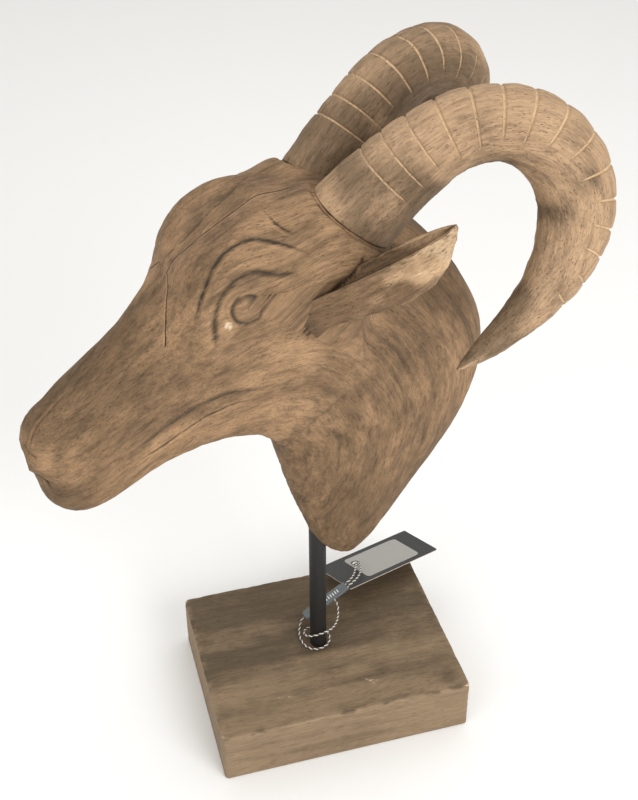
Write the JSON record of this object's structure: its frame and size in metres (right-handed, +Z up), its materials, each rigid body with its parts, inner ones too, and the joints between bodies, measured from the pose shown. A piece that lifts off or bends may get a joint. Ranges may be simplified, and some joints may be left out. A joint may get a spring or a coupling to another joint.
{
  "type": "carved ram head on stand",
  "caption": "Hand-carved wooden ram's head with curled horns, on a round black rod in a rectangular wooden base, with a swing tag on a cord.",
  "frame": {"origin": "centre of the base's underside, on the surface that it stands on", "axes": "+Z up, +X along the base's long side away from the muzzle, +Y to the back (the animal's right)"},
  "size_m": [0.3398, 0.2259, 0.4763],
  "materials": {
    "base_wood": "old planed softwood, grey-brown wash, worn edges",
    "rod_black": "black painted steel, satin",
    "head_wood": "hand-carved softwood, grey-brown wash, tool marks",
    "horn_wood": "carved softwood, pale, saw-cut rings",
    "ear_wood": "carved softwood, pale",
    "dowel_wood": "plain turned dowel",
    "card_grey": "dark grey coated card",
    "sticker_paper": "light grey paper label",
    "seal_plastic": "blue-grey moulded plastic",
    "cord_white": "white and silver twisted cord"
  },
  "bodies": {
    "stand": {"base_block": "base_wood", "rod": "rod_black"},
    "head": {"head": "head_wood", "left_horn": "horn_wood", "right_horn": "horn_wood", "left_ear": "ear_wood", "right_ear": "ear_wood", "horn_dowels": "dowel_wood"},
    "tag": {"tag_seal": "seal_plastic", "tag_knot": "cord_white", "rod_cord": "cord_white", "card_cord_near": "cord_white", "card_cord_far": "cord_white"},
    "card": {"swing_card": "card_grey", "price_sticker": "sticker_paper"}
  },
  "joints": [
    {"name": "head_turn", "type": "hinge", "parent": "stand", "child": "head", "pos_m": [-0.003, 0, 0.127], "axis": [0, 0, 1], "continuous": true},
    {"name": "tag_swing", "type": "hinge", "parent": "stand", "child": "tag", "pos_m": [-0.003, 0, 0.05], "axis": [0, 0, 1], "continuous": true},
    {"name": "card_swivel", "type": "hinge", "parent": "tag", "child": "card", "pos_m": [0.04429, 0.0608, 0.0524], "axis": [0.0246, 0.2183, 0.9756], "range_deg": [-5, 5]}
  ]
}
